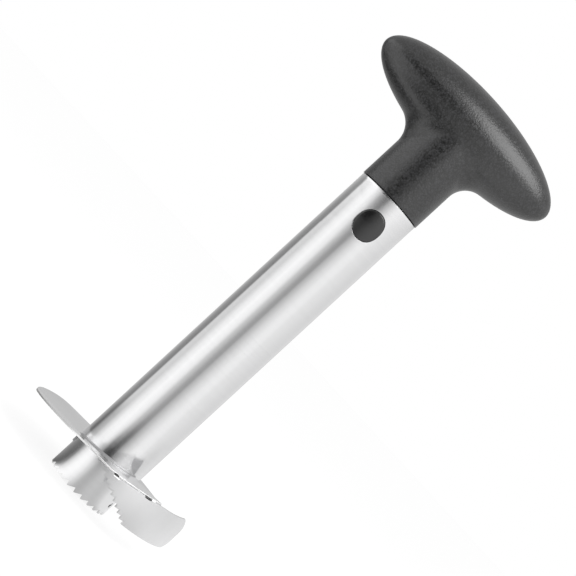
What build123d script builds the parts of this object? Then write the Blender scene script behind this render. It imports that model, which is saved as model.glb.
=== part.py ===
from build123d import *
import math
import os

# Pineapple slicer: a steel coring tube with a toothed end, a ring blade that ramps up round it, a
# toothed side knife on the blade's rim, and a T grip whose plug latches in the tube with two buttons.
# It stands on the tooth tips, +Z up the tube, the grip along X and the buttons on the Y sides.
# The origin is on the tube's axis in the plane of the tooth tips. Lengths are in millimetres, and
# angles are in degrees round +Z from +X, with the front at -90.

# Coring tube
tube_od = 32.5
tube_wall = 0.8
tube_length = 184.0
tooth_count = 24
tooth_depth = 1.9
tooth_land = 0.4
tooth_steep_share = 0.14
first_tooth_angle = -97.2
vent_radius = 1.35
vent_height = 6.0
vent_angle = -25.7

# Ring blade: flat from its leading edge to the ramp, then rising to its trailing edge
ring_od = 87.2
ring_sheet = 0.8
ring_height = 16.6
ramp_start_angle = 183.0
ramp_span = 140.0
ramp_rim_rise = 9.8
ramp_root_rise = 5.7
leading_root_angle = -6.7
leading_rim_angle = 36.3
trailing_root_angle = 316.3
trailing_rim_angle = 304.1
leading_bevel = 2.2
leading_bevel_depth = 0.55
collar_wall = 0.55
collar_drop = 3.8
collar_start_angle = 2.0
collar_rise = 1.1
press_gap = 0.03

# Side knife: a curved wall under the rim of the ramp, with stepped teeth on its leading edge
knife_sheet = 0.85
knife_ledge = 0.6
knife_start_angle = -101.7
knife_first_tip_angle = -96.4
knife_tooth_pitch = 3.42
knife_tooth_count = 10
knife_start_height = 20.9
knife_first_tip_height = 19.5
knife_last_tip_height = 8.8
knife_tread_rise = 0.35
knife_heel_angle = -22.7
knife_heel_height = 10.4
knife_tail_angle = -8.0
knife_tail_height = 16.0
knife_peak_angle = -28.7
knife_peak_height = 26.8
knife_shoulder_height = 25.4
knife_heel_bulge = 0.9
knife_tail_bulge = 1.3
knife_top_sag = 0.15
weld_height = 0.7
weld_angles = ((-90.7, -87.4), (-67.9, -63.2))

# Grip: two half shells of one T form, meeting on the XZ plane
grip_length = 104.6
grip_height = 34.6
grip_depth = 36.4
grip_above_tube = 46.0
grip_fillet = 11.0
grip_wall = 2.3
neck_od = 33.2
neck_seam = 0.3
rib_height = 2.8
rib_reach = 2.4
rib_drop = 7.0
peg_radius = 1.6
peg_length = 4.0
peg_boss_radius = 3.4
peg_spacing = 60.0

# Plug in the top of the tube, with its end cap and screw
plug_clearance = 0.2
plug_depth = 31.0
plug_spigot_height = 19.0
plug_core_radius = 8.5
plug_core_depth = 17.0
spring_wall = 8.4
spring_bore_clearance = 0.3
travel_clearance = 0.1
guide_clearance = 0.15
pocket_clearance = 0.4
cap_thickness = 3.2
cap_tongue_height = 3.0
rib_clearance = 0.25
screw_radius = 1.4
screw_length = 14.0
screw_head_radius = 2.8
screw_head_height = 1.8
screw_recess = 0.4
screw_slot = 0.7
screw_clearance = 0.1

# Release buttons and their springs
button_width = 12.5
button_height = 14.3
button_corner = 4.4
button_below_end = 14.7
button_proud = 0.5
button_edge_radius = 0.8
button_hole_gap = 0.2
flange_reach = 1.2
flange_thickness = 1.4
flange_ledge = 3.25
button_travel = 3.2
spring_pocket_radius = 3.6
spring_pocket_depth = 2.2
spring_wire = 0.6
spring_mean_radius = 2.8
spring_turns = 5.5
spring_seat_gap = 0.05
spring_check_steps = 48

# What every cut runs past the faces that it opens
overrun = 2.0

tube_radius = tube_od / 2
bore_radius = tube_radius - tube_wall
ring_radius = ring_od / 2
ring_bore = tube_radius + press_gap
knife_outer_radius = ring_radius + knife_ledge
knife_inner_radius = knife_outer_radius - knife_sheet
neck_radius = neck_od / 2
neck_bottom = tube_length + neck_seam
grip_centre_height = tube_length + grip_above_tube
neck_bore = neck_radius - grip_wall
plug_radius = bore_radius - plug_clearance
plug_bottom = tube_length - plug_depth
button_centre_height = tube_length - button_below_end
flange_stop = plug_radius - flange_ledge
pocket_face = flange_stop + plug_clearance / 2
pocket_floor = flange_stop - flange_thickness - button_travel - travel_clearance
spring_seat = flange_stop + spring_pocket_depth - flange_thickness
flange_width = button_width + 2 * flange_reach
flange_height = button_height + 2 * flange_reach
rib_bottom = tube_length + plug_spigot_height - rib_drop
rib_top = rib_bottom + rib_height


def polar(radius, angle, height=0):
    """The point at a radius and angle round the tube's axis."""
    turn = math.radians(angle)
    return Vector(radius * math.cos(turn), radius * math.sin(turn), height)


def upright(radius, bottom, top):
    """A round solid on the tube's axis between two heights."""
    return Pos(0, 0, bottom) * Cylinder(radius, top - bottom, align=(Align.CENTER, Align.CENTER, Align.MIN))


def block(x_size, y_low, y_high, z_low, z_high):
    """A box centred in X, between its Y and Z limits."""
    body = Box(x_size, y_high - y_low, z_high - z_low, align=(Align.CENTER, Align.MIN, Align.MIN))
    return Pos(0, y_low, z_low) * body


def oval(width, height, corner):
    """A round outline with two flat sides, as the buttons and their holes have."""
    outline = Circle(height / 2) & Rectangle(width, height)
    return fillet(outline.vertices(), corner)


def oval_prism(width, height, corner, inner, outer):
    """The button outline as a solid along -Y, between two distances from the tube's axis."""
    face = Plane.XZ * oval(width, height, corner)
    return Pos(0, -inner, button_centre_height) * extrude(face, amount=outer - inner)


def plan_sector(inner, outer, start_inner, start_outer, end_inner, end_outer):
    """A flat ring sector whose two ends are straight lines from the inner to the outer arc."""
    start = Line(polar(inner, start_inner), polar(outer, start_outer))
    rim = CenterArc((0, 0), outer, start_outer, end_outer - start_outer)
    end = Line(polar(outer, end_outer), polar(inner, end_inner))
    root = CenterArc((0, 0), inner, start_inner, end_inner - start_inner)
    return make_face([start, rim, end, root])


def tooth_notches():
    """The gaps between the tube's saw teeth, each steep on the side that meets the fruit last."""
    pitch = 2 * math.pi * tube_radius / tooth_count
    steep = pitch * tooth_steep_share
    outline = Polyline(
        (tooth_land, -overrun),
        (tooth_land, 0),
        (pitch - steep, tooth_depth),
        (pitch, 0),
        (pitch, -overrun),
        close=True,
    )
    face = Plane.XZ * make_face(outline)
    notch = Pos(0, -bore_radius + overrun, 0) * extrude(face, amount=tube_wall + 2 * overrun)
    turns = [first_tooth_angle + 90 + tooth * 360 / tooth_count for tooth in range(tooth_count)]
    return [Rot(0, 0, turn) * notch for turn in turns]


def coring_tube():
    """The steel tube: its toothed end, a small vent above the teeth, and the two button holes."""
    tube = upright(tube_radius, 0, tube_length) - upright(bore_radius, -overrun, tube_length + overrun)
    tube = tube - tooth_notches()
    outwards = Plane(polar(bore_radius - overrun, vent_angle, vent_height), z_dir=polar(1, vent_angle))
    vent_length = tube_wall + 2 * overrun
    vent = Cylinder(vent_radius, vent_length, align=(Align.CENTER, Align.CENTER, Align.MIN))
    tube = tube - outwards * vent
    grow = 2 * button_hole_gap
    reach = tube_radius + overrun
    return tube - oval_prism(button_width + grow, button_height + grow, button_corner, -reach, reach)


def ramp_rise(radius):
    """How far the ramp would rise at a radius over its whole span: more at the rim than at the root."""
    outward = (radius - ring_bore) / (ring_radius - ring_bore)
    return ramp_root_rise + (ramp_rim_rise - ramp_root_rise) * outward


def ramp_edge(radius):
    """The helix on the underside of the ramp at a radius."""
    rise = ramp_rise(radius)
    helix = Helix(pitch=rise * 360 / ramp_span, height=rise, radius=radius)
    return Pos(0, 0, ring_height) * Rot(0, 0, ramp_start_angle) * helix


def ramp_plate(inner, outer, thickness, plan):
    """A plate that lies on the underside surface of the ramp, cut to a plan outline."""
    underside = Face.make_surface_from_curves(ramp_edge(inner).edge(), ramp_edge(outer).edge())
    plate = extrude(underside, amount=thickness, dir=(0, 0, 1))
    top = ring_height + ramp_rim_rise + 2 * thickness + overrun
    return plate & extrude(plan, amount=top)


def flat_run():
    """The flat part of the ring blade, ground to an edge along its leading side."""
    plan = plan_sector(
        ring_bore, ring_radius, leading_root_angle, leading_rim_angle, ramp_start_angle, ramp_start_angle
    )
    plate = Pos(0, 0, ring_height) * extrude(plan, amount=ring_sheet)
    root = polar(ring_bore, leading_root_angle)
    middle = (root + polar(ring_radius, leading_rim_angle)) / 2
    edge = plate.edges().sort_by_distance(middle + Vector(0, 0, ring_height + ring_sheet))[0]
    side = plate.faces().sort_by_distance(middle + Vector(0, 0, ring_height + ring_sheet / 2))[0]
    return chamfer(edge, leading_bevel_depth, leading_bevel, reference=side)


def slicing_ring():
    """The ring blade: flat run, ramp, and the drawn collar, which turns up along the ramp."""
    ramp_plan = plan_sector(
        ring_bore, ring_radius, ramp_start_angle, ramp_start_angle, trailing_root_angle, trailing_rim_angle
    )
    ramp = ramp_plate(ring_bore, ring_radius, ring_sheet, ramp_plan)
    collar_plan = plan_sector(
        ring_bore,
        ring_bore + collar_wall,
        collar_start_angle,
        collar_start_angle,
        ramp_start_angle,
        ramp_start_angle,
    )
    collar = Pos(0, 0, ring_height - collar_drop) * extrude(collar_plan, amount=collar_drop + ring_sheet / 2)
    flare_plan = plan_sector(
        ring_bore,
        ring_bore + collar_wall,
        ramp_start_angle,
        ramp_start_angle,
        trailing_root_angle,
        trailing_root_angle,
    )
    flare = ramp_plate(ring_bore, ring_bore + collar_wall, ring_sheet + collar_rise, flare_plan)
    return flat_run() + ramp + collar + flare


def knife_outline():
    """The knife as seen square on from outside: teeth, heel, round tail, peak and top edge."""
    middle = (knife_start_angle + knife_tail_angle) / 2

    def at(angle, height):
        return (knife_outer_radius * math.sin(math.radians(angle - middle)), height)

    fall = (knife_first_tip_height - knife_last_tip_height) / (knife_tooth_count - 1)
    corners = [at(knife_start_angle, ring_height + ramp_rim_rise), at(knife_start_angle, knife_start_height)]
    tread_end = knife_start_height
    for tooth in range(knife_tooth_count):
        angle = knife_first_tip_angle + tooth * knife_tooth_pitch
        tip = knife_first_tip_height - tooth * fall
        corners += [at(angle, tread_end), at(angle, tip)]
        tread_end = tip + knife_tread_rise
    teeth = Polyline(*corners)
    heel = at(knife_heel_angle, knife_heel_height)
    tail = at(knife_tail_angle, knife_tail_height)
    peak = at(knife_peak_angle, knife_peak_height)
    rim_corner = trailing_rim_angle - 360
    shoulder = at(rim_corner, knife_shoulder_height)
    bottom = Line(corners[-1], heel)
    heel_turn = SagittaArc(heel, tail, knife_heel_bulge)
    tail_edge = SagittaArc(tail, peak, knife_tail_bulge)
    top = SagittaArc(peak, shoulder, -knife_top_sag)
    above = Polyline(shoulder, at(rim_corner, ring_height + ramp_rim_rise), corners[0])
    return middle, make_face([teeth, bottom, heel_turn, tail_edge, top, above])


def side_knife():
    """The side knife: its outline cut in a rolled wall, then trimmed to seat under the ramp's rim."""
    middle, outline = knife_outline()
    square_on = Plane(origin=(0, 0, 0), x_dir=polar(1, middle + 90), z_dir=polar(1, middle))
    blank = extrude(square_on * outline, amount=knife_outer_radius + overrun)
    wall = upright(knife_outer_radius, 0, knife_peak_height + overrun)
    wall = wall - upright(knife_inner_radius, -overrun, knife_peak_height + 2 * overrun)
    seat_inner = knife_inner_radius - overrun
    seat_outer = knife_outer_radius + overrun
    seat_start = knife_start_angle + 360 - knife_tooth_pitch
    seat_plan = plan_sector(
        seat_inner, seat_outer, seat_start, seat_start, trailing_rim_angle, trailing_rim_angle
    )
    return (wall & blank) - ramp_plate(seat_inner, seat_outer, ramp_rim_rise, seat_plan)


def knife_welds():
    """Tack welds in the corner between the ring's edge and the knife's top ledge."""
    beads = []
    for start, end in weld_angles:
        plan = plan_sector(
            ring_radius + press_gap, knife_outer_radius, start + 360, start + 360, end + 360, end + 360
        )
        beads.append(ramp_plate(ring_radius + press_gap, knife_outer_radius, weld_height, plan))
    return Compound(children=beads)


def grip_form(inset, neck_end):
    """The T form of the grip, drawn in by an inset: a spindle on a neck, blended where they meet."""
    half = grip_length / 2 - inset
    radius = grip_height / 2 - inset
    upper = Plane.XZ * (Ellipse(half, radius) & Pos(0, radius) * Rectangle(2 * half + overrun, 2 * radius))
    spindle = scale(revolve(upper, Axis.X), by=(1, (grip_depth / 2 - inset) / radius, 1))
    neck = upright(neck_radius - inset, neck_end, grip_centre_height)
    form = Pos(0, 0, grip_centre_height) * spindle + neck
    between = [edge for edge in form.edges() if neck_end + overrun < edge.center().Z < grip_centre_height]
    corner = [edge for edge in between if edge.geom_type not in (GeomType.LINE, GeomType.CIRCLE)]
    return fillet(corner, grip_fillet + inset)


def grip_pegs(side):
    """Round bosses inside a half shell: pegs on the front one, sockets on the rear one."""
    spots = [(-peg_spacing / 2, grip_centre_height), (peg_spacing / 2, grip_centre_height)]
    bosses, pegs = [], []
    for x, z in spots:
        boss = Plane((x, 0, z), z_dir=(0, side, 0)) * Cylinder(
            peg_boss_radius, grip_depth / 2, align=(Align.CENTER, Align.CENTER, Align.MIN)
        )
        bosses.append(boss)
        pegs.append(Pos(x, 0, z) * Rot(90, 0, 0) * Cylinder(peg_radius, 2 * peg_length))
    return bosses, pegs


def grip_shell(side):
    """One hollow half of the grip, with the rib that locks in the plug's groove."""
    outer = grip_form(0, neck_bottom)
    hollow = grip_form(grip_wall, neck_bottom - overrun)
    rib = upright(neck_bore + grip_wall / 2, rib_bottom, rib_top) - upright(
        neck_bore - rib_reach, rib_bottom - overrun, rib_top + overrun
    )
    bosses, pegs = grip_pegs(side)
    boss_form = grip_form(grip_wall / 2, neck_bottom)
    shell = outer - hollow + rib
    for boss in bosses:
        shell = shell + (boss & boss_form)
    reach = grip_length
    half = block(reach, min(0, side * reach), max(0, side * reach), 0, grip_centre_height + reach)
    shell = shell & half
    for peg in pegs:
        shell = shell + peg if side < 0 else shell - peg
    return shell


def button_pocket(side):
    """The space in the plug for a button's flange, open below, and the bore behind it for the spring."""
    half_width = flange_width / 2 + pocket_clearance
    top = button_centre_height + flange_height / 2 + pocket_clearance
    near, far = sorted((side * pocket_floor, side * pocket_face))
    bore = Plane((0, side * spring_wall / 2, button_centre_height), z_dir=(0, side, 0)) * Cylinder(
        spring_pocket_radius + spring_bore_clearance,
        pocket_floor - spring_wall / 2 + overrun,
        align=(Align.CENTER, Align.CENTER, Align.MIN),
    )
    return block(2 * half_width, near, far, plug_bottom - overrun, top) + bore


def plug_body():
    """The moulded plug: a core that fills the tube's end and a grooved spigot held by the shells."""
    shoulder = neck_bottom
    top = tube_length + plug_spigot_height
    body = upright(plug_radius, plug_bottom, shoulder)
    body = body + upright(neck_bore - rib_clearance, shoulder - overrun, top)
    groove_floor = neck_bore - rib_reach - rib_clearance
    groove = upright(neck_bore + overrun, rib_bottom - rib_clearance, rib_top + rib_clearance)
    body = body - (groove - upright(groove_floor, 0, top))
    body = body - upright(plug_core_radius, top - plug_core_depth, top + overrun)
    body = body - button_pocket(-1) - button_pocket(1)
    grow = 2 * guide_clearance
    inner, outer = pocket_face - overrun, plug_radius + overrun
    guide_front = oval_prism(button_width + grow, button_height + grow, button_corner, inner, outer)
    body = body - guide_front - mirror(guide_front, Plane.XZ)
    return body - upright(screw_radius, plug_bottom - overrun, plug_bottom + screw_length)


def plug_end_cap():
    """The cap that closes the button pockets, keyed into them and held by the screw."""
    bottom = plug_bottom - cap_thickness
    cap = upright(plug_radius, bottom, plug_bottom)
    top = plug_bottom + cap_tongue_height
    tongue_width = flange_width - pocket_clearance
    near = pocket_floor + pocket_clearance / 2
    far = pocket_face - pocket_clearance
    for low, high in ((-far, -near), (near, far)):
        cap = cap + block(tongue_width, low, high, plug_bottom - cap_thickness / 2, top)
    cap = cap - upright(screw_radius + screw_clearance, bottom - overrun, top)
    recess_top = bottom + screw_recess + screw_head_height
    return cap - upright(screw_head_radius + screw_clearance, bottom - overrun, recess_top)


def plug_screw():
    """The self-tapping screw up the plug's middle."""
    bottom = plug_bottom - cap_thickness + screw_recess
    head = upright(screw_head_radius, bottom, bottom + screw_head_height)
    rim = head.edges().filter_by(GeomType.CIRCLE).sort_by(Axis.Z)[0]
    head = fillet(rim, screw_head_height / 3)
    shank = upright(screw_radius, bottom + screw_head_height, plug_bottom + screw_length - overrun)
    slot_top = bottom + screw_head_height / 2
    slot = block(2 * screw_head_radius, -screw_slot / 2, screw_slot / 2, bottom - overrun, slot_top)
    cross = Rot(0, 0, 90) * slot
    return head + shank - slot - cross


def release_button(side):
    """A button: its oval head through plug and tube, and the flange that keeps it in the plug."""
    face = tube_radius + button_proud
    head = oval_prism(button_width, button_height, button_corner, flange_stop - flange_thickness, face)
    rim = head.faces().sort_by(Axis.Y)[0].edges()
    head = fillet(rim, button_edge_radius)
    flange = oval_prism(
        flange_width, flange_height, button_corner, flange_stop - flange_thickness, flange_stop
    )
    pocket = Plane((0, 0, button_centre_height), z_dir=(0, -1, 0)) * Cylinder(
        spring_pocket_radius, spring_seat, align=(Align.CENTER, Align.CENTER, Align.MIN)
    )
    button = head + flange - pocket
    return button if side < 0 else mirror(button, Plane.XZ)


def coil_point(turn, start, end):
    """A point on the spring's centre line and the line's direction there."""
    angle = 2 * math.pi * turn
    pitch = (end - start) / spring_turns
    aside, up = math.cos(angle), math.sin(angle)
    place = Vector(spring_mean_radius * aside, start + pitch * turn, spring_mean_radius * up)
    way = Vector(-up, pitch / (2 * math.pi * spring_mean_radius), aside)
    return place, way.normalized()


def half_turn(first, first_way, last, last_way):
    """Two tangent arcs that make half a turn, meeting where both ends' handles are of one length."""
    gap, ways = last - first, first_way + last_way
    a = ways.dot(ways) - 4
    b = -2 * gap.dot(ways)
    reach = (-b - math.sqrt(b * b - 4 * a * gap.dot(gap))) / (2 * a)
    middle = (first + first_way * reach + last - last_way * reach) / 2
    opening = TangentArc(first, middle, tangent=first_way)
    return [opening, TangentArc(middle, last, tangent=opening % 1)]


def button_spring(side):
    """A coil spring from the plug's middle wall to the floor of the button's pocket."""
    clear = spring_wire / 2 + spring_seat_gap
    start, end = spring_wall / 2 + clear, spring_seat - clear
    halves = int(2 * spring_turns)
    arcs = []
    for half in range(halves):
        first, first_way = coil_point(half / 2, start, end)
        last, last_way = coil_point((half + 1) / 2, start, end)
        arcs += half_turn(first, first_way, last, last_way)
    path = Wire([arc.edge() for arc in arcs])
    section = Plane(path @ 0, z_dir=path % 0) * Circle(spring_wire / 2)
    spring = Pos(0, 0, button_centre_height) * sweep(section, path=path)
    return spring if side > 0 else mirror(spring, Plane.XZ)


def least_coil_gap():
    """The least gap between the spring's wire and its next turn, measured on points."""
    clear = spring_wire / 2 + spring_seat_gap
    start, end = spring_wall / 2 + clear, spring_seat - clear
    count = int(spring_turns * spring_check_steps)
    points = [coil_point(step / spring_check_steps, start, end)[0] for step in range(count + 1)]
    gaps = [
        (points[i] - points[j]).length
        for i in range(count + 1)
        for j in range(i + spring_check_steps // 2, count + 1)
    ]
    return min(gaps) - spring_wire


parts = {
    "coring_tube": coring_tube(),
    "slicing_ring": slicing_ring(),
    "side_knife": side_knife(),
    "knife_welds": knife_welds(),
    "grip_shell_front": grip_shell(-1),
    "grip_shell_rear": grip_shell(1),
    "plug_body": plug_body(),
    "plug_end_cap": plug_end_cap(),
    "plug_screw": plug_screw(),
    "release_button_front": release_button(-1),
    "release_button_rear": release_button(1),
    "button_spring_front": button_spring(-1),
    "button_spring_rear": button_spring(1),
}

os.makedirs("parts", exist_ok=True)
for name, shape in parts.items():
    export_step(shape, f"parts/{name}.step")
    print(name, round(shape.volume, 1))
print("least gap between the spring's turns", round(least_coil_gap(), 2))
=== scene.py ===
import math

import bmesh
import bpy
import numpy as np
from mathutils import Matrix, Vector


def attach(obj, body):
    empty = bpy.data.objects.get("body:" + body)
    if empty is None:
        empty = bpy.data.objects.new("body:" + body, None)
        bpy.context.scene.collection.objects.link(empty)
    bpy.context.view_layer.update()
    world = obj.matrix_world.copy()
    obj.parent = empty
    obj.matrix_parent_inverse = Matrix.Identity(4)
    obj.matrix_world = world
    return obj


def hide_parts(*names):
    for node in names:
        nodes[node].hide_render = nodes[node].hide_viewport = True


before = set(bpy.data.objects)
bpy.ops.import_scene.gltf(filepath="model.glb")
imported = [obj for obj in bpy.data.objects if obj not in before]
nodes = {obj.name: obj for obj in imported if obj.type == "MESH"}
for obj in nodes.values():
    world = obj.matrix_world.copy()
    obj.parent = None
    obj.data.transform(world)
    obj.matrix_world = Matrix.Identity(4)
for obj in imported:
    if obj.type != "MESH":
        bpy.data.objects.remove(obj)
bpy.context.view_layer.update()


# The table: a plain pale sweep under the tool. To the camera it is as white as the studio's backdrop, with
# only a soft shadow where the toothed end stands on it, and in reflections it has the studio's tones.

table_radius, table_rings, table_spokes = 6.0, 72, 180
table_strength, glow_strength, glow_share = 0.95, 1.08, 0.8


def disc_points(radius, rings, spokes):
    """Points of a flat disc: ring k lies at radius * (k / rings) cubed, so they are close near the middle."""
    share = (np.arange(rings + 1) / rings) ** 3
    turn = np.arange(spokes) * 2 * np.pi / spokes
    r, t = np.meshgrid(share * radius, turn, indexing="ij")
    return np.stack([r * np.cos(t), r * np.sin(t), np.zeros_like(r)], -1)


def grid_quads(rows, columns, around=False):
    """Four corners of each cell of a grid counted row by row; around joins the last column to the first."""
    r, c = np.meshgrid(np.arange(rows - 1), np.arange(columns if around else columns - 1), indexing="ij")
    n = (c + 1) % columns
    corners = [r * columns + c, r * columns + n, (r + 1) * columns + n, (r + 1) * columns + c]
    return np.stack(corners, -1).reshape(-1, 4)


def surface(name, points, faces, join=1e-7, crease=35):
    """A mesh object from arrays of points and faces, smooth but for edges sharper than the crease angle."""
    mesh = bpy.data.meshes.new(name)
    mesh.from_pydata(points.reshape(-1, 3), [], faces)
    work = bmesh.new()
    work.from_mesh(mesh)
    bmesh.ops.remove_doubles(work, verts=work.verts, dist=join)
    bmesh.ops.dissolve_degenerate(work, edges=work.edges, dist=join)
    work.to_mesh(mesh)
    work.free()
    mesh.shade_smooth()
    mesh.set_sharp_from_angle(angle=math.radians(crease))
    piece = bpy.data.objects.new(name, mesh)
    bpy.context.scene.collection.objects.link(piece)
    return piece


def mark(piece, label, level):
    """Keeps a level for every point of a piece, worked out by a function of the points' places."""
    places = np.empty(3 * len(piece.data.vertices), np.float32)
    piece.data.vertices.foreach_get("co", places)
    kept = piece.data.attributes.new(label, "FLOAT", "POINT")
    kept.data.foreach_set("value", level(places.reshape(-1, 3)).astype(np.float32))


def add_node(tree, kind, values=None, **settings):
    """A node of one kind with its settings given by name, and with values for its inputs by their labels."""
    node = tree.nodes.new("ShaderNode" + kind)
    for label, value in settings.items():
        setattr(node, label, value)
    for label, value in (values or {}).items():
        node.inputs[label].default_value = value
    return node


def value_step(tree, kind, *given):
    """The result of a maths node of one kind, with each input given as a number or a socket."""
    step = add_node(tree, "Math", operation=kind)
    for slot, item in zip(step.inputs, given):
        if hasattr(item, "node"):
            tree.links.new(item, slot)
        else:
            slot.default_value = item
    return step.outputs[0]


def mix_shaders(tree, factor, under, over):
    """The result of one shader laid over another by a factor, all three given as sockets."""
    blend = add_node(tree, "MixShader")
    for slot, item in zip(blend.inputs, (factor, under, over)):
        tree.links.new(item, slot)
    return blend.outputs["Shader"]


# The studio's tones, as (bearing, tone) pairs: bearings in degrees, turning right from the camera's side.
# The floor's near tones reach to a distance from the axis and blend into the middle ones over another, and
# so on outwards. The wall's low tones change to its high ones at the split.
camera_side = -97.5
near_reach, near_blend, middle_reach, middle_blend, far_reach = 0.14, 0.025, 0.2, 0.14, 0.36
screen_split, split_blend = 0.591, 0.023
low_tones = (
    (-180, 0.67), (-165, 0.6), (-150, 0.5), (-138, 0.38), (-113, 0.24), (-108, 0.85), (-88, 0.78),
    (-72, 1.06), (-55, 1.22), (-38, 1.12), (-25, 0.76), (-12, 0.48), (-4, 0.4), (3, 0.56), (12, 0.73),
    (25, 0.93), (40, 1.06), (52, 1.07), (64, 0.98), (88, 0.91), (117, 0.84), (150, 0.84), (180, 0.67),
)
high_tones = (
    (-180, 0.6), (-147, 0.6), (-129, 0.5), (-119, 0.4), (-107, 1.35), (-72, 1.4), (-56, 1.25), (-42, 0.7),
    (-27, 0.12), (-12, 0.04), (-3, 0.12), (3, 0.32), (12, 0.54), (25, 0.86), (40, 1.1), (64, 1.1),
    (120, 0.9), (150, 0.64), (180, 0.6),
)
near_tones = (
    (-180, 0.7), (-150, 0.5), (-136, 0.34), (-123, 0.28), (-106, 0.19), (-93, 0.16), (-82, 0.33), (-70, 0.95),
    (-57, 1.27), (-42, 1.3), (-33, 1.2), (-25, 1.05), (-17, 0.84), (-9, 0.62), (0, 0.56), (9, 0.6),
    (20, 0.68), (30, 0.7), (47, 0.66), (57, 0.7), (68, 0.8), (80, 0.98), (120, 1.0), (180, 0.8),
)
middle_tones = (
    (-180, 0.7), (-150, 0.5), (-136, 0.36), (-122, 0.16), (-114, 0.2), (-106, 0.45), (-92, 0.62), (-79, 0.92),
    (-68, 1.15), (-50, 1.2), (-43, 1.12), (-37, 0.86), (-31, 0.3), (-25, 0.08), (-9, 0.05), (-3, 0.16),
    (0, 0.28), (9, 0.54), (18, 0.8), (28, 1.0), (38, 1.18), (52, 1.2), (68, 1.06), (80, 0.92), (92, 0.84),
    (106, 0.88), (130, 0.94), (180, 0.75),
)
far_tones = (
    (-180, 0.7), (-150, 0.5), (-136, 0.36), (-122, 0.2), (-114, 0.22), (-107, 0.48), (-92, 0.6), (-79, 0.92),
    (-68, 1.22), (-50, 1.3), (-37, 1.15), (-28, 0.93), (-19, 0.58), (-12, 0.26), (-6, 0.22), (0, 0.36),
    (9, 0.6), (18, 0.8), (28, 1.0), (40, 1.1), (57, 1.1), (68, 0.96), (80, 0.87), (92, 0.83), (106, 0.86),
    (120, 0.92), (180, 0.78),
)


def screen_tone(points):
    """The tone of the studio at the bearing of each point: on the floor it goes over from a near list to a
    middle and a far one with the distance and then to the low list, which also holds for the foot of the
    wall round it. Above that comes the high list."""
    bearing = np.degrees(np.arctan2(points[..., 1], points[..., 0])) - camera_side
    bearing = (bearing + 180) % 360 - 180
    lists = (near_tones, middle_tones, far_tones, low_tones, high_tones)
    near, middle, far, low, high = (np.interp(bearing, *np.array(tones).T) for tones in lists)
    distance, height = np.hypot(points[..., 0], points[..., 1]), points[..., 2]
    floor = near + (middle - near) * np.clip((distance - near_reach) / near_blend, 0, 1)
    floor = floor + (far - middle) * np.clip((distance - middle_reach) / middle_blend, 0, 1)
    floor = np.where(distance > far_reach, low / table_strength, floor)
    return np.where(height > screen_split, high, np.where(height > 0, low, floor))


def painted(name, points, faces, strength):
    """A staging surface whose points carry the studio's tone, with the start of a material that reads it."""
    piece = surface(name, points, faces, join=0.0)
    mark(piece, "tone", screen_tone)
    finish = bpy.data.materials.new(name)
    finish.use_nodes = True
    piece.data.materials.append(finish)
    tree = finish.node_tree
    tone = add_node(tree, "Attribute", attribute_name="tone")
    paint = add_node(tree, "Emission", {"Strength": strength})
    tree.links.new(tone.outputs["Color"], paint.inputs["Color"])
    return piece, tree, paint


board_points = disc_points(table_radius, table_rings, table_spokes)
board_faces = grid_quads(table_rings + 1, table_spokes, around=True)[:, ::-1]
tree, paint = painted("table", board_points, board_faces, table_strength)[1:]
board = tree.nodes["Principled BSDF"]
board.inputs["Base Color"].default_value = (0.86, 0.86, 0.86, 1)
board.inputs["Roughness"].default_value = 0.9
board.inputs["Specular IOR Level"].default_value = 0.1
glow = add_node(tree, "Emission", {"Strength": glow_strength})
path = add_node(tree, "LightPath")
share = value_step(tree, "MULTIPLY", path.outputs["Is Camera Ray"], glow_share)
seen = mix_shaders(tree, share, board.outputs["BSDF"], glow.outputs["Emission"])
seen = mix_shaders(tree, path.outputs["Is Glossy Ray"], seen, paint.outputs["Emission"])
tree.links.new(seen, tree.nodes["Material Output"].inputs["Surface"])


# The light: a pale room, a tall soft box on the left and a smaller one high on the right. A wide screen
# stands far round the tool, by the table's edge. It shows only in reflections, where it draws the long soft
# bands on the steel tube.

room_strength, backdrop_strength = 0.72, 1.0
screen_distance, screen_foot, screen_head, screen_step = 5.9, 0.001, 3.02, 2

room = bpy.data.worlds.new("room")
bpy.context.scene.world = room
room.use_nodes = True
tree = room.node_tree
fill = tree.nodes["Background"]
fill.inputs["Color"].default_value = (1, 1, 1, 1)
fill.inputs["Strength"].default_value = room_strength
backdrop = add_node(tree, "Background", {"Color": (1, 1, 1, 1), "Strength": backdrop_strength})
path = add_node(tree, "LightPath")
seen = mix_shaders(
    tree, path.outputs["Is Camera Ray"], fill.outputs["Background"], backdrop.outputs["Background"]
)
tree.links.new(seen, tree.nodes["World Output"].inputs["Surface"])


def round_about(bearing, distance, height):
    """A point at a distance and height, at a bearing in degrees that turns right from the camera's side."""
    turn = math.radians(camera_side + bearing)
    return Vector((distance * math.cos(turn), distance * math.sin(turn), height))


def soft_box(name, place, aim, width, height, brightness):
    """An even rectangular lamp aimed at a height on the tool; its power is pi * area * brightness."""
    lamp = bpy.data.lights.new(name, "AREA")
    lamp.shape = "RECTANGLE"
    lamp.size, lamp.size_y = width, height
    lamp.energy = math.pi * width * height * brightness
    box = bpy.data.objects.new(name, lamp)
    box.location = place
    box.rotation_euler = (place - Vector((0, 0, aim))).to_track_quat("Z", "Y").to_euler()
    bpy.context.scene.collection.objects.link(box)
    return box


left_place, high_place = round_about(-63, 1.3, 0.45), round_about(46, 0.8, 1.0)
left_box = soft_box("soft_box_left", left_place, aim=0.126, width=1.1, height=1.4, brightness=1.15)
left_box.visible_glossy = False
soft_box("soft_box_high", high_place, aim=0.23, width=0.95, height=0.8, brightness=3.2)

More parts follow.
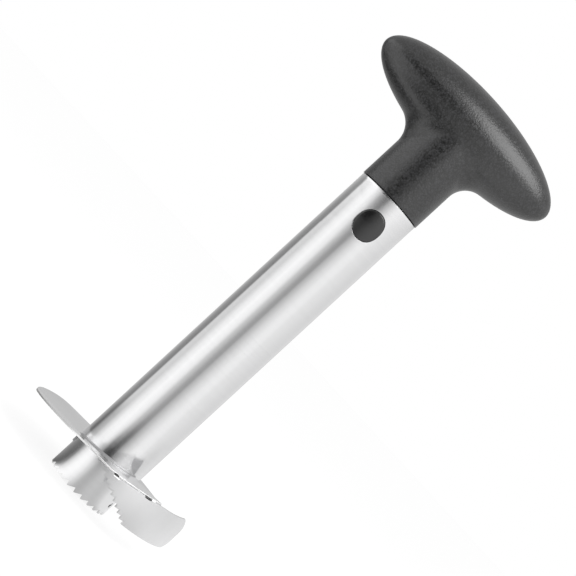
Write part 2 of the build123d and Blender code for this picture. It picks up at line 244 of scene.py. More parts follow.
heights = (screen_foot, screen_split, screen_split + split_blend, screen_head)
turn, height = np.meshgrid(np.radians(np.arange(-180, 180, screen_step)), heights)
points = np.stack([screen_distance * np.cos(turn), screen_distance * np.sin(turn), height], -1)
screen, tree, paint = painted("screen", points, grid_quads(*turn.shape, around=True), 1.0)
tree.links.new(paint.outputs["Emission"], tree.nodes["Material Output"].inputs["Surface"])
screen.visible_camera = screen.visible_diffuse = screen.visible_shadow = False


# The camera: level with the middle of the tool and rolled to its side, so that the upright tool lies
# across the picture from the lower left to the upper right.

camera_distance = 0.8
camera_height = 0.12609
camera_aside = 0.00173
camera_turn = math.radians(47.35)
picture_half = 288
pixels_at_one = 1840

eye = bpy.data.cameras.new("camera")
eye.sensor_fit = "HORIZONTAL"
eye.angle = 2 * math.atan(picture_half / pixels_at_one)
eye.clip_start, eye.clip_end = 0.01, 50
camera = bpy.data.objects.new("camera", eye)
back = round_about(0, 1, 0)
right = round_about(90, 1, 0)
upward = Vector((0, 0, 1))
across = right * math.cos(camera_turn) + upward * math.sin(camera_turn)
along = upward * math.cos(camera_turn) - right * math.sin(camera_turn)
place = back * camera_distance - right * camera_aside + upward * camera_height
camera.matrix_world = Matrix.Translation(place) @ Matrix((across, along, back)).transposed().to_4x4()
bpy.context.scene.collection.objects.link(camera)
bpy.context.scene.camera = camera
bpy.context.scene.view_settings.view_transform = "Standard"


# Coring tube: a welded stainless tube, 32.5 mm outside with a 0.8 mm wall. Its lower end is milled to
# 24 saw teeth with a small vent hole above them, and near its top two ovals take the release buttons.

tube_radius, tube_wall, tube_length = 0.01625, 0.0008, 0.184
tooth_count, tooth_depth, first_tooth = 24, 0.0019, math.radians(-97.2)
tooth_steps = np.array([0, 0.094, 0.28, 0.47, 0.66, 0.86])
tooth_rise = np.array([0, 0, 0.243, 0.491, 0.739, 1.0]) * tooth_depth
hole_band, hole_middle, hole_gap = 0.155, 0.1693, 0.0002
oval_tall, oval_wide, oval_squareness = 0.0072, 0.0063, 2.2
vent_round, vent_turn, vent_height, vent_window, vent_count = 0.00135, math.radians(-25.7), 0.006, 0.0032, 9


def tube_wall_points(turn, height):
    """Points on the tube's outer wall: radius * (cos turn, sin turn), height."""
    return np.stack([tube_radius * np.cos(turn), tube_radius * np.sin(turn), height + 0 * turn], -1)


def oval_edge(grow, count=256):
    """Points (across, rise) of the buttons' outline, a rounded oval: half width * cos(way) ** power and
    half height * sin(way) ** power, where power is 2 / squareness and each half is grown by a distance."""
    way = np.linspace(0, 2 * np.pi, count, endpoint=False)
    parts = np.stack([np.cos(way), np.sin(way)])
    across, rise = np.sign(parts) * np.abs(parts) ** (2 / oval_squareness)
    return (oval_wide + grow) * across, (oval_tall + grow) * rise


def by_direction(across, rise):
    """The direction and distance of each point from the middle, in order of direction."""
    order = np.argsort(np.arctan2(rise, across))
    return np.arctan2(rise, across)[order], np.hypot(across, rise)[order]


def hole_fan(row, side, middle, edge, rings):
    """Rings from a rectangle of the wall, with turns along its foot and heights up its sides, in to a hole.
    On the ray from the hole's middle through each rectangle point, ring k lies at the hole's edge plus a
    falling share of the way out to the rectangle."""
    inside = side[1:-1]
    turn = np.concatenate([row, np.full(inside.size, row[-1]), row[::-1], np.full(inside.size, row[0])])
    height = np.concatenate([np.full(row.size, side[0]), inside, np.full(row.size, side[-1]), inside[::-1]])
    across, up = (turn - middle[0]) * tube_radius, height - middle[1]
    way = np.arctan2(up, across)
    near = np.interp(way, *edge, period=2 * np.pi)
    share = (np.linspace(1, 0, rings + 1) ** 1.6)[:, None]
    reach = near + (np.hypot(across, up) - near) * share
    return tube_wall_points(middle[0] + reach * np.cos(way) / tube_radius, middle[1] + reach * np.sin(way))


def bring_together(*grids):
    """One list of points and one of faces from several grids that close on themselves, less a gap's cells."""
    points, faces, start = [], [], 0
    for grid, gap in grids:
        cells = grid_quads(*grid.shape[:2], around=True).reshape(grid.shape[0] - 1, grid.shape[1], 4)
        kept = np.ones(cells.shape[:2], bool)
        kept[gap] = False
        points.append(grid.reshape(-1, 3))
        faces.append(cells[kept] + start)
        start += points[-1].shape[0]
    return np.concatenate(points), np.concatenate(faces)


def finish_edges(piece, rounding, wall=0.0):
    """Gives an open sheet its wall inwards, rounds a piece's cut edges and evens the shading next to them."""
    if wall:
        solid = piece.modifiers.new("wall", "SOLIDIFY")
        solid.thickness, solid.offset, solid.use_even_offset = wall, -1, True
    edge = piece.modifiers.new("edge", "BEVEL")
    edge.width, edge.segments = rounding, 2
    edge.limit_method, edge.angle_limit = "ANGLE", math.radians(40)
    edge.use_clamp_overlap = True
    even = piece.modifiers.new("even", "WEIGHTED_NORMAL")
    even.keep_sharp = False


pitch = 2 * math.pi / tooth_count
half = tooth_count // 2 * tooth_steps.size
columns = first_tooth - math.pi / 2 + ((np.arange(tooth_count + 1)[:, None] + tooth_steps) * pitch).ravel()
columns = columns[: 2 * half + 1]
vent_rows = vent_height + np.linspace(-vent_window, vent_window, vent_count)
rows = np.concatenate([[0.0], vent_rows, [0.02, 0.05, 0.08, 0.11, 0.135, hole_band]])
turn, height = np.meshgrid(columns[:-1], rows)
height[0] = np.tile(tooth_rise, tooth_count)
left, right = np.searchsorted(columns, vent_turn + np.array([-1, 1]) * vent_window / tube_radius)
vent_row, vent_side = columns[left : right + 1], rows[1 : vent_count + 1]
vent_edge = np.array([-np.pi, np.pi]), np.full(2, vent_round)
across, rise = oval_edge(hole_gap)
button_edge = by_direction(tube_radius * np.arcsin(across / tube_radius), rise)
side = np.linspace(hole_band, tube_length, 13)
nothing = np.s_[:0]
tube = surface(
    "coring_tube_shell",
    *bring_together(
        (tube_wall_points(turn, height), np.s_[1:vent_count, left:right]),
        (hole_fan(vent_row, vent_side, (vent_turn, vent_height), vent_edge, rings=6), nothing),
        (hole_fan(columns[: half + 1], side, (-math.pi / 2, hole_middle), button_edge, rings=14), nothing),
        (hole_fan(columns[half:], side, (math.pi / 2, hole_middle), button_edge, rings=14), nothing),
    ),
    join=1e-6,
    crease=60,
)
finish_edges(tube, rounding=0.00008, wall=tube_wall)
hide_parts("coring_tube")
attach(tube, "tube_and_blades")


def effect_group(name, inputs, outputs):
    """An empty node group with named inputs, given as (kind, start value), and outputs."""
    group = bpy.data.node_groups.new(name, "ShaderNodeTree")
    for label, (kind, value) in inputs.items():
        socket = group.interface.new_socket(label, in_out="INPUT", socket_type="NodeSocket" + kind)
        if value is not None:
            socket.default_value = value
    for label, kind in outputs.items():
        group.interface.new_socket(label, in_out="OUTPUT", socket_type="NodeSocket" + kind)
    return group, group.nodes.new("NodeGroupInput"), group.nodes.new("NodeGroupOutput")


def end_group(group, given, result, light, rough, height, relief_depth):
    """Joins up a group's outputs: its tone times a light level, a roughness, and the normal of a relief
    whose height is a socket's value times a depth in metres."""
    shade = add_node(group, "CombineColor")
    for channel in shade.inputs:
        group.links.new(light, channel)
    tint = add_node(group, "Mix", {0: 1.0}, data_type="RGBA", blend_type="MULTIPLY")
    group.links.new(given.outputs["Tone"], tint.inputs[6])
    group.links.new(shade.outputs["Color"], tint.inputs[7])
    relief = add_node(group, "Bump", {"Distance": relief_depth})
    group.links.new(given.outputs["Depth"], relief.inputs["Strength"])
    group.links.new(height, relief.inputs["Height"])
    group.links.new(tint.outputs[2], result.inputs["Color"])
    group.links.new(rough, result.inputs["Roughness"])
    group.links.new(relief.outputs["Normal"], result.inputs["Normal"])


def grouped_finish(name, group, settings, stretch=None):
    """A material, and its shader, whose colour, roughness and normal come from a group with its settings
    given by name. The group works in the piece's own space, stretched by a number along X, Y and Z."""
    finish = bpy.data.materials.new(name)
    finish.use_nodes = True
    tree = finish.node_tree
    space = add_node(tree, "TexCoord").outputs["Object"]
    if stretch:
        mapping = add_node(tree, "Mapping", {"Scale": stretch})
        tree.links.new(space, mapping.inputs["Vector"])
        space = mapping.outputs["Vector"]
    effect = add_node(tree, "Group", settings, node_tree=group)
    tree.links.new(space, effect.inputs["Vector"])
    shader = tree.nodes["Principled BSDF"]
    for label, slot in (("Color", "Base Color"), ("Roughness", "Roughness"), ("Normal", "Normal")):
        tree.links.new(effect.outputs[label], shader.inputs[slot])
    return finish, shader


# Brushing: fine scratches drawn out along one way, which vary the tone and the gloss of the steel, over
# slow cloudy patches. The vector comes in stretched, so one unit across the scratches is one scratch.
brushing, given, result = effect_group(
    "brushing",
    {
        "Vector": ("Vector", None),
        "Tone": ("Color", (0.8, 0.8, 0.8, 1)),
        "Contrast": ("Float", 0.1),
        "Roughness": ("Float", 0.3),
        "Depth": ("Float", 0.1),
    },
    {"Color": "Color", "Roughness": "Float", "Normal": "Vector"},
)
scratch = add_node(brushing, "TexNoise", {"Scale": 1.0, "Detail": 3.0, "Roughness": 0.65})
clouds = add_node(brushing, "TexNoise", {"Scale": 0.13, "Detail": 2.0})
for noise in (scratch, clouds):
    brushing.links.new(given.outputs["Vector"], noise.inputs["Vector"])
mixed = value_step(brushing, "ADD", scratch.outputs["Fac"], clouds.outputs["Fac"])
swing = value_step(brushing, "SUBTRACT", mixed, 1.0)
light = value_step(brushing, "MULTIPLY_ADD", swing, given.outputs["Contrast"], 1.0)
wear = value_step(brushing, "MULTIPLY", given.outputs["Contrast"], 0.6)
rough = value_step(brushing, "MULTIPLY_ADD", swing, wear, given.outputs["Roughness"])
end_group(brushing, given, result, light, rough, scratch.outputs["Fac"], relief_depth=0.00002)


def steel(name, stretch, tone, contrast, roughness, depth):
    """Brushed steel. Stretch is the number of scratches per metre along X, Y and Z."""
    settings = {"Tone": (*tone, 1), "Contrast": contrast, "Roughness": roughness, "Depth": depth}
    finish, metal = grouped_finish(name, brushing, settings, stretch)
    metal.inputs["Metallic"].default_value = 1.0
    return finish


tube_steel = steel("tube_steel_brushed", (25, 25, 3200), (0.79, 0.79, 0.795), 0.06, 0.13, 0.05)
tube.data.materials.append(tube_steel)


# Ring blade: one sheet of 0.8 mm stainless, flat for over half a turn and then ramping up to its trailing
# edge. A drawn collar hangs from its inner edge and grips the tube, and the leading edge is ground sharp.

ring_inner, ring_outer, ring_sheet = 0.01628, 0.0436, 0.0008
ring_height, collar_drop, collar_wall = 0.0166, 0.0038, 0.00055
lead_inner, lead_outer = math.radians(-6.7), math.radians(36.3)
tail_inner, tail_outer = math.radians(316.3), math.radians(304.1)
ramp_start, ramp_span, ramp_inner, ramp_outer = math.radians(183), math.radians(140), 0.0057, 0.0098
ground_width, ground_depth, rim_round, ground_roll, under_roll = 0.0022, 0.00055, 0.00028, 0.9, 0.5
set_turn, set_width, set_height = math.radians(132), math.radians(17), 0.00062
sag_turn, sag_width, sag_depth = math.radians(270.5), math.radians(14), 0.0009
tail_lift, tail_span = 0.0005, math.radians(30)
collar_start, flare_gap, flare_reach, flare_root = math.radians(2), math.radians(0.4), 0.5, 0.9 * ring_sheet
cut_band, cut_roughness = 0.0002, 0.35


def ring_plan(start, end, along, out):
    """Turn, radius and distance from the leading edge over the blade: along runs from its leading to its
    trailing edge, and out from the tube to the rim. Both edges are straight in plan, so each radius has its
    own start and end turn."""
    radius = ring_inner + (ring_outer - ring_inner) * out

    def edge_turn(inner, outer):
        """The turn at each radius on the straight line from an inner corner's turn to an outer corner's: the
        share t of the way along it where its distance from the axis, a quadratic in t, is the radius."""
        a = np.array([ring_inner * math.cos(inner), ring_inner * math.sin(inner)])
        b = np.array([ring_outer * math.cos(outer), ring_outer * math.sin(outer)])
        step = b - a
        half, rest = a @ step, a @ a - radius**2
        t = (-half + np.sqrt(half**2 - step @ step * rest)) / (step @ step)
        return inner + np.angle((a[0] + t * step[0] + 1j * (a[1] + t * step[1])) * np.exp(-1j * inner))

    first, last = edge_turn(*start), edge_turn(*end)
    return first + (last - first) * along, radius, (last - first) * along * radius


def ramp_height(turn, radius):
    """Underside of the blade: level up to the ramp, then rising evenly with the turn, more at the rim."""
    climb = ramp_inner + (ramp_outer - ramp_inner) * (radius - ring_inner) / (ring_outer - ring_inner)
    return ring_height + np.clip((turn - ramp_start) / ramp_span, 0, None) * climb


def sheet_set(turn, radius):
    """How far the sheet has sprung from its plain form, growing with the square of the way out: up in a bell
    in the flat run, down in a bell by the first weld, and up a little at the trailing corner."""
    out = ((radius - ring_inner) / (ring_outer - ring_inner)) ** 2
    bell = np.exp(-(((turn - set_turn) / set_width) ** 2))
    sag = np.exp(-(((turn - sag_turn) / sag_width) ** 2))
    lift = np.clip(1 - (tail_outer - turn) / tail_span, 0, 1) ** 2
    return out * (set_height * bell - sag_depth * sag + tail_lift * lift)


def rim_seat(turn):
    """Height of the rim's underside at a turn in radians, where the knife stands."""
    return ramp_height(turn, ring_outer) + sheet_set(turn, ring_outer)


def closed_sheet(top, under):
    """Points and faces of a sheet closed on all four sides, from the grids of its two skins."""
    rows, columns = top.shape[:2]
    count = rows * columns
    face = grid_quads(rows, columns)
    border = np.concatenate([
        np.arange(columns),
        np.arange(1, rows) * columns + columns - 1,
        np.arange(columns - 2, -1, -1) + (rows - 1) * columns,
        np.arange(rows - 2, 0, -1) * columns,
    ])
    ahead = np.roll(border, -1)
    side = np.stack([border, border + count, ahead + count, ahead], -1)
    points = np.concatenate([top.reshape(-1, 3), under.reshape(-1, 3)])
    return points, np.concatenate([face, face[:, ::-1] + count, side])


def at_turn(radius, turn, height):
    """Points at radius * (cos turn, sin turn), height."""
    return np.stack([radius * np.cos(turn), radius * np.sin(turn), height], -1)


along = np.concatenate([[0, 0.004, 0.008, 0.012, 0.018, 0.026], np.linspace(0.03, 1, 180)])[None, :]
rim_steps = rim_round * (1 - np.sin(np.linspace(0, np.pi / 2, 7)))
out = np.concatenate([np.linspace(0, 0.98, 24), 1 - rim_steps / (ring_outer - ring_inner)])[:, None]
turn, radius, walked = ring_plan((lead_inner, lead_outer), (tail_inner, tail_outer), along, out)
radius = radius + 0 * turn
under = ramp_height(turn, radius) + sheet_set(turn, radius)
ground = np.clip(1 - walked / ground_width, 0, 1)
into_rim = np.clip(rim_round - (ring_outer - radius), 0, rim_round)
rolled = (rim_round - np.sqrt(rim_round**2 - into_rim**2)) * (1 - ground_roll * ground)
top_skin = at_turn(radius, turn, under + ring_sheet - ground * ground_depth - rolled)
under_skin = at_turn(radius, turn, under + under_roll * rolled)
ring = surface("ring_blade", *closed_sheet(top_skin[::-1], under_skin[::-1]), crease=30)

# The collar's outer side in section: how far out it stands from the collar's wall at each share of its drop.
collar_turn = np.linspace(collar_start, ramp_start, 121)
profile_out = np.array([0, 0, 0, 0, 0.0001, 0.0003, 0.0006, 0.001])
profile_down = np.array([1, 0.66, 0.33, 0.12, 0.05, 0.015, 0, 0])
turn, out = np.meshgrid(collar_turn, profile_out)
down = np.repeat(profile_down[:, None], collar_turn.size, 1) * collar_drop
outer = at_turn(ring_inner + collar_wall + out, turn, ring_height - down)
drop = down * (1 + ring_sheet / 2 / collar_drop)
inner = at_turn(ring_inner + 0 * turn, turn, ring_height + ring_sheet / 2 - drop)
collar = surface("ring_collar", *closed_sheet(outer, inner), crease=40)

# Along the ramp the collar turns up instead, highest over the ramp's lower part. Across the lip its height
# falls as 1 - the cube root of the share of the way out.
flare_turn = np.linspace(ramp_start, tail_inner - flare_gap, 101)
turn, out = np.meshgrid(flare_turn, flare_reach * profile_out[::-1])
rise_turns, rises = np.radians([183, 204, 262, 300, 317]), (0.0003, 0.0008, 0.0008, 0.0006, 0.0003)
flare_rise = np.interp(turn, rise_turns, rises)
up = (1 - np.cbrt(out / out.max())) * flare_rise
root = ramp_height(turn, ring_inner + collar_wall + out) + ring_sheet
outer = at_turn(ring_inner + collar_wall + out, turn, root + up)
rise = up * (1 + flare_root / flare_rise)
inner = at_turn(ring_inner + 0 * turn, turn, root - flare_root + rise)
flare = surface("ring_flare", *closed_sheet(outer[::-1], inner[::-1]), crease=40)

# The sheet is satin. Its sheared rim is rougher, with a painted highlight in its colour. The drawn collar is
# rougher and darkened as painted shade.
blade_steel = steel("blade_steel_satin", (60, 2400, 60), (0.76, 0.76, 0.765), 0.06, 0.12, 0.04)
rim_highlight_turns, rim_painted_highlights = (-127, -119, -88, -78), (0.6, 1.0, 1.0, 0.8)
mark(ring, "cut_edge_and_highlight", lambda places: np.hypot(places[:, 0], places[:, 1]) > ring_outer - cut_band)
# Painted highlight and shade: the rim band's tone is white between turns of -119 and -88 degrees, where it
# faces the camera's side, and darker away from it.
mark(ring, "rim_painted_highlight", lambda places: np.interp(
    np.degrees(np.arctan2(places[:, 1], places[:, 0])), rim_highlight_turns, rim_painted_highlights
))
tree = blade_steel.node_tree
metal = tree.nodes["Principled BSDF"]
cut = add_node(tree, "Attribute", attribute_name="cut_edge_and_highlight")
rim_painted_highlight = add_node(tree, "Attribute", attribute_name="rim_painted_highlight")
# Here the rim band's colour is mixed over to the painted highlight tone.
tint = add_node(tree, "Mix", data_type="RGBA")
tree.links.new(cut.outputs["Fac"], tint.inputs[0])
tree.links.new(metal.inputs["Base Color"].links[0].from_socket, tint.inputs[6])
tree.links.new(rim_painted_highlight.outputs["Color"], tint.inputs[7])
tree.links.new(tint.outputs[2], metal.inputs["Base Color"])
smooth = metal.inputs["Roughness"].links[0].from_socket
rough = value_step(tree, "MULTIPLY_ADD", cut.outputs["Fac"], cut_roughness, smooth)
tree.links.new(rough, metal.inputs["Roughness"])
# Painted shade: the drawn collar and flare are rougher, and their tone is lowered to keep the lamp's glint
# off the tube's foot.
collar_steel = steel("collar_steel_painted_shade", (60, 2400, 60), (0.45, 0.45, 0.455), 0.1, 0.42, 0.04)
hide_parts("slicing_ring")
blade_pieces = ((ring, 0.00012, blade_steel), (collar, 0.0001, collar_steel), (flare, 0.0001, collar_steel))
for piece, rounding, finish in blade_pieces:
    finish_edges(piece, rounding)
    piece.data.materials.append(finish)
    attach(piece, "tube_and_blades")


# Side knife: a rolled 0.85 mm strip under the rim of the ramp. Its leading edge is cut in ten small
# steps that fall to the heel, and its tail sweeps up in a curve to a peak behind the ramp's end.

knife_outer, knife_sheet = 0.0442, 0.00085
knife_start, first_tip, tip_pitch, tip_count = -101.7, -96.4, 3.42, 10
start_height, first_tip_height, last_tip_height, tread_rise = 0.0209, 0.0195, 0.0088, 0.00035
heel_turn, heel_height, tail_turn, tail_height = -22.7, 0.0104, -8.0, 0.016
peak_turn, peak_height, shoulder_height, ramp_corner = -28.7, 0.0271, 0.0256, -55.9
heel_bulge, tail_bulge, top_sag, tail_spring, spring_power = 0.0009, 0.0013, 0.00015, 0.00025, 1.4
step_lean, column_step, column_gap = 0.00003, 0.0005, 0.00015
square_on = (knife_start + tail_turn) / 2


def unrolled(turn):
    """Distance along a straight view of the knife: its radius times the sine of the turn from its middle."""
    return knife_outer * np.sin(np.radians(turn - square_on))


def bowed(first, last, bulge, count):
    """Points on an arc through two (distance, height) points, bulging to the right of the way there."""
    first, last = np.array(first), np.array(last)
    chord = np.hypot(*(last - first))
    radius = (chord**2 / 4 + bulge**2) / (2 * abs(bulge))
    sweep = np.arcsin(chord / 2 / radius)
    angle = np.linspace(-sweep, sweep, count)
    way = (last - first) / chord
    side = np.array([way[1], -way[0]]) * np.sign(bulge)
    rise = np.sqrt(radius**2 - (radius * np.sin(angle)) ** 2) - (radius - abs(bulge))
    return (first + last) / 2 + np.outer(radius * np.sin(angle), way) + np.outer(rise, side)


fall = (first_tip_height - last_tip_height) / (tip_count - 1)
tip_turn = first_tip + tip_pitch * np.arange(tip_count)
tip_height = first_tip_height - fall * np.arange(tip_count)
tread_end = np.concatenate([[start_height], tip_height[:-1] + tread_rise])
step_low = np.stack([unrolled(tip_turn), tip_height], -1)
step_high = np.stack([unrolled(tip_turn) - step_lean, tread_end], -1)
teeth = np.stack([step_high, step_low], 1).reshape(-1, 2)
low = np.concatenate([
    [[unrolled(knife_start), start_height]],
    teeth,
    np.linspace(teeth[-1], [unrolled(heel_turn), heel_height], 12)[1:-1],
    bowed((unrolled(heel_turn), heel_height), (unrolled(tail_turn), tail_height), heel_bulge, 16),
])
tail_side = bowed((unrolled(peak_turn), peak_height), (unrolled(tail_turn), tail_height), -tail_bulge, 60)
free_top = bowed((unrolled(ramp_corner), shoulder_height), (unrolled(peak_turn), peak_height), top_sag, 12)
seat_turn = np.linspace(knife_start, ramp_corner, 60)
seat = np.stack([unrolled(seat_turn), rim_seat(np.radians(seat_turn + 360))], -1)
high = np.concatenate([seat, free_top])


def evenly(line, count):
    """Points at even distances along a line of (distance, height) points."""
    walked = np.concatenate([[0], np.cumsum(np.hypot(*np.diff(line, axis=0).T))])
    place = np.linspace(0, walked[-1], count)
    return np.stack([np.interp(place, walked, line[:, 0]), np.interp(place, walked, line[:, 1])], -1)


under_peak = np.array([unrolled(peak_turn), np.interp(unrolled(peak_turn), *low.T)])
before = low[low[:, 0] < under_peak[0]]
between = np.arange(before[0, 0], under_peak[0], column_step)
clear = np.min(np.abs(between[:, None] - before[None, :, 0]), axis=1) > column_gap
places = np.sort(np.concatenate([before[:, 0], between[clear], under_peak[:1]]))
before = np.stack([places, np.interp(places, *low.T)], -1)
after = evenly(np.concatenate([[under_peak], low[low[:, 0] > under_peak[0]]]), 40)
bottom_line = np.concatenate([before, after[1:]])
top_line = np.concatenate([
    np.stack([before[:, 0], np.interp(before[:, 0], *high.T)], -1),
    evenly(tail_side, 40)[1:],
])
share = np.linspace(0, 1, 9)[:, None, None]
face = bottom_line * (1 - share) + top_line * share
turn = math.radians(square_on) + np.arcsin(face[..., 0] / knife_outer)
free_share = np.clip((np.degrees(turn) - ramp_corner) / (tail_turn - ramp_corner), 0, 1)
sprung = knife_outer + tail_spring * free_share**spring_power
knife = surface(
    "side_knife_wall",
    *closed_sheet(at_turn(sprung, turn, face[..., 1]), at_turn(sprung - knife_sheet, turn, face[..., 1])),
    join=2e-6,
    crease=40,
)
finish_edges(knife, rounding=0.00008)
knife_steel = steel("knife_steel_satin", (60, 2400, 60), (0.8, 0.8, 0.805), 0.06, 0.26, 0.04)
knife.data.materials.append(knife_steel)
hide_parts("side_knife")
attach(knife, "tube_and_blades")


# Tack welds: two spots where the ring's edge and the knife were melted together. Each has a rippled bead of
# bright metal whose raised tone is a painted highlight and, next to it on the seam, a smaller dark bead that
# is painted shadow in the seam's gap.

weld_middle, weld_depth, ripple_depth, ripple_count = 0.04395, 0.00045, 0.04, 4


def weld_points(start, end, lift, rise):
    """A closed bead along the rim, from a start to an end in degrees: an upright oval whose size runs as the
    square root of 1 - (2s - 1) ** 4 along its length s, with small ripples, and whose two ends close to a
    point. Its middle is lifted from the rim's underside, and its half height is the rise."""
    s, around = np.meshgrid(np.linspace(0, 1, 41), np.linspace(0, 2 * np.pi, 25)[:-1], indexing="ij")
    size = np.sqrt(1 - (2 * s - 1) ** 4) * (1 + ripple_depth * np.cos(2 * np.pi * ripple_count * s))
    turn = np.radians(start + (end - start) * s)
    height = rim_seat(turn + 2 * np.pi) + lift + rise * size * np.sin(around)
    return at_turn(weld_middle + weld_depth * size * np.cos(around), turn, height)


# Painted highlight and painted shadow: the bright bead's tone stands in for its glint, the dark bead's for
# the shade in the seam.
weld_bead_highlight_finish = steel("weld_steel_bead_and_highlight", (900, 900, 900), (0.95, 0.95, 0.95), 0.25, 0.4, 0.3)
weld_shadow_finish = steel("weld_steel_painted_shadow", (900, 900, 900), (0.1, 0.1, 0.1), 0.25, 0.5, 0.3)
for name, span, finish in (
    ("weld_bead_1", (-90.2, -84.9, -0.0008, 0.0006), weld_bead_highlight_finish),
    ("weld_painted_shadow_1", (-89.8, -86.6, 0.0003, 0.0005), weld_shadow_finish),
    ("weld_bead_2", (-63.4, -60.2, -0.0001, 0.0007), weld_bead_highlight_finish),
    ("weld_painted_shadow_2", (-68.2, -62.8, -0.0002, 0.0005), weld_shadow_finish),
):
    points = weld_points(*span)
    bead = surface(name, points, grid_quads(*points.shape[:2], around=True)[:, ::-1], crease=60)
    bead.data.materials.append(finish)
    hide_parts("knife_welds")
    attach(bead, "tube_and_blades")


# Grip: two moulded halves of charcoal plastic with a fine leather-like grain, meeting in the plane of
# the T. A blunt spindle stands on a round neck, and a wide hollow curve joins the two.

# Moulded grain: small rounded pebbles in the surface that break up its gloss and tone.
grain, given, result = effect_group(
    "moulded_grain",
    {
        "Vector": ("Vector", None),
        "Tone": ("Color", (0.03, 0.03, 0.03, 1)),
        "Pebbles": ("Float", 1400.0),
        "Contrast": ("Float", 0.3),
        "Roughness": ("Float", 0.5),
        "Depth": ("Float", 0.3),
    },
    {"Color": "Color", "Roughness": "Float", "Normal": "Vector"},
)
pebble = add_node(grain, "TexVoronoi", {"Smoothness": 0.6}, feature="SMOOTH_F1")
grain.links.new(given.outputs["Pebbles"], pebble.inputs["Scale"])
speck = add_node(grain, "TexNoise", {"Detail": 4.0})
grain.links.new(value_step(grain, "MULTIPLY", given.outputs["Pebbles"], 0.45), speck.inputs["Scale"])
for texture in (pebble, speck):
    grain.links.new(given.outputs["Vector"], texture.inputs["Vector"])
uneven = value_step(grain, "SUBTRACT", speck.outputs["Fac"], pebble.outputs["Distance"])
swing = value_step(grain, "MULTIPLY_ADD", uneven, given.outputs["Contrast"], 1.0)
light = value_step(grain, "MAXIMUM", swing, 0.1)
rough = value_step(grain, "MULTIPLY_ADD", uneven, 0.12, given.outputs["Roughness"])
end_group(grain, given, result, light, rough, uneven, relief_depth=0.00012)


def plastic(name, tone, pebbles, contrast, roughness, depth, shine=0.5):
    """Moulded plastic whose grain has a number of pebbles per metre. Shine is its specular level."""
    settings = {"Tone": (*tone, 1), "Pebbles": pebbles, "Contrast": contrast, "Roughness": roughness}
    finish, shell = grouped_finish(name, grain, {**settings, "Depth": depth})
    shell.inputs["Specular IOR Level"].default_value = shine
    return finish


grip_half, grip_depth, grip_rise, grip_middle = 0.0523, 0.0182, 0.0173, 0.230
neck_round, neck_foot, hollow_curve, grip_wall, halvings = 0.0166, 0.1845, 0.011, 0.0023, 40


def grip_skin(around, inset, neck_rows=8, curve_rows=16, spindle_rows=44):
    """One skin of the grip, drawn in by an inset. In each upright plane through the neck's axis it is the
    neck's line, an arc that touches both the neck and the ellipse, and the ellipse up to the top. The arc's
    middle is neck + arc out from the axis, and the ellipse point that it touches is found by halving."""
    half, depth, rise = grip_half - inset, grip_depth - inset, grip_rise - inset
    neck, arc = neck_round - inset, hollow_curve + inset
    reach = np.hypot(half * np.cos(around), depth * np.sin(around))
    low, high = np.full_like(around, -np.pi / 2), np.zeros_like(around)
    for _ in range(halvings):
        lift = (low + high) / 2
        out, up = np.cos(lift) / reach, np.sin(lift) / rise
        beyond = reach * np.cos(lift) + arc * out / np.hypot(out, up) > neck + arc
        low, high = np.where(beyond, low, lift), np.where(beyond, lift, high)
    out, up = out / np.hypot(out, up), up / np.hypot(out, up)
    centre = grip_middle + rise * np.sin(lift) + arc * up
    share = np.linspace(0, 1, neck_rows)[:, None]
    neck_out, neck_up = neck + 0 * share * centre, neck_foot + (centre - neck_foot) * share
    share = np.linspace(0, 1, curve_rows)[1:, None]
    bend = np.pi + (np.arctan2(-up, -out) - np.pi) * share
    curve_out, curve_up = neck + arc + arc * np.cos(bend), centre + arc * np.sin(bend)
    share = np.linspace(0, 1, spindle_rows)[1:, None]
    climb = lift + (np.pi / 2 - lift) * share
    out = np.concatenate([neck_out, curve_out, reach * np.cos(climb)])
    up = np.concatenate([neck_up, curve_up, grip_middle + rise * np.sin(climb)])
    return np.stack([out * half * np.cos(around) / reach, out * depth * np.sin(around) / reach, up], -1)


grip_plastic = plastic("grip_plastic_grained", (0.006, 0.006, 0.0065), 1200.0, 6.0, 0.31, 0.48, shine=0.9)
for name, start in (("grip_half_rear", 0.0), ("grip_half_front", math.pi)):
    around = start + np.linspace(0, math.pi, 129)
    skins = closed_sheet(grip_skin(around, 0.0), grip_skin(around, grip_wall))
    shell = surface(name, *skins, join=1e-6, crease=50)
    finish_edges(shell, rounding=0.00012)
    shell.data.materials.append(grip_plastic)
    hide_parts("grip_shell_front" if start else "grip_shell_rear")
    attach(shell, "grip")


# Plug and end cap: moulded black plastic that fills the tube's top end and guides the buttons. The cap
# closes the pockets from below, and one self-tapping screw holds it.


def refinish(finish, *names):
    """Gives nodes that keep their own shape a finish in place of the plain one."""
    for name in names:
        nodes[name].data.materials.clear()
        nodes[name].data.materials.append(finish)


plug_plastic = plastic("plug_plastic_smooth", (0.028, 0.028, 0.03), 900.0, 0.2, 0.42, 0.1)
refinish(plug_plastic, "plug_body", "plug_end_cap")
screw_steel = steel("screw_steel_plain", (1500, 1500, 300), (0.62, 0.62, 0.63), 0.2, 0.28, 0.1)
refinish(screw_steel, "plug_screw")


# Release buttons: smooth black moulded ovals, a little domed, that stand just proud of the tube. A flange
# keeps each one in the plug, and a coil spring of drawn steel wire behind it pushes it out.

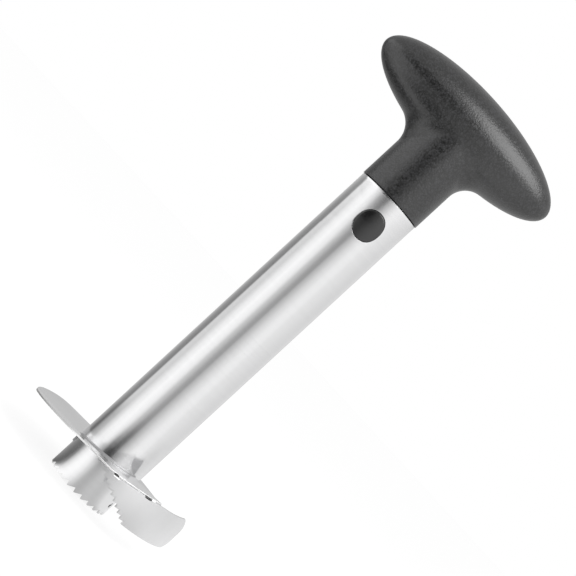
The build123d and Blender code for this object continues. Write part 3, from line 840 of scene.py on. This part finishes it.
button_face, button_back, flange_front, flange_reach, edge_round = 0.01675, 0.0106, 0.012, 0.0012, 0.0004
crown_across, crown_up = 0.0012, 0.0005
button_around = np.linspace(-np.pi, np.pi, 97)[:-1]


def button_rings(rings):
    """Rings (across, rise) of the buttons' outline, each grown by a distance and then drawn in to a share."""
    reach = []
    for grow, share in rings:
        edge = by_direction(*oval_edge(grow))
        reach.append(share * np.interp(button_around, *edge, period=2 * np.pi))
    return np.array(reach) * np.cos(button_around), np.array(reach) * np.sin(button_around)


# The face falls from its middle by crown * (way out) squared, on both ways, and rolls over a round edge.
# Behind it come the straight side, the flange that keeps the button in, and the closed back.
round_turn = np.linspace(0, np.pi / 2, 7)[1:]
face_shares = (0, 0.2, 0.4, 0.6, 0.8, 0.93, 1)
face_rings = [(-edge_round, share) for share in face_shares]
across, rise = button_rings(face_rings + [(edge_round * (math.sin(a) - 1), 1) for a in round_turn])
fallen = np.concatenate([np.zeros(len(face_shares)), edge_round * (1 - np.cos(round_turn))])[:, None]
front = button_face - crown_across * (across / oval_wide) ** 2 - crown_up * (rise / oval_tall) ** 2 - fallen
body_rings = [(0.0, 1), (flange_reach, 1), (flange_reach, 1), (0.0, 0)]
side_across, side_rise = button_rings(body_rings)
back = np.array([flange_front, flange_front, button_back, button_back])[:, None] + 0 * side_across
across, rise = np.concatenate([across, side_across]), np.concatenate([rise, side_rise])
depth = np.concatenate([front, back])
button_plastic = plastic("button_plastic_smooth", (0.003, 0.003, 0.0032), 700.0, 0.5, 0.2, 0.08, shine=0.9)
for name, side in (("front", -1), ("rear", 1)):
    points = np.stack([-side * across, side * depth, hole_middle + rise], -1)
    button = surface("button_" + name, points, grid_quads(*across.shape, around=True), crease=40)
    button.data.materials.append(button_plastic)
    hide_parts("release_button_" + name)
    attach(button, name + "_button")

spring_steel = steel("spring_steel_drawn", (1200, 1200, 1200), (0.6, 0.6, 0.61), 0.15, 0.3, 0.1)
refinish(spring_steel, "button_spring_front", "button_spring_rear")
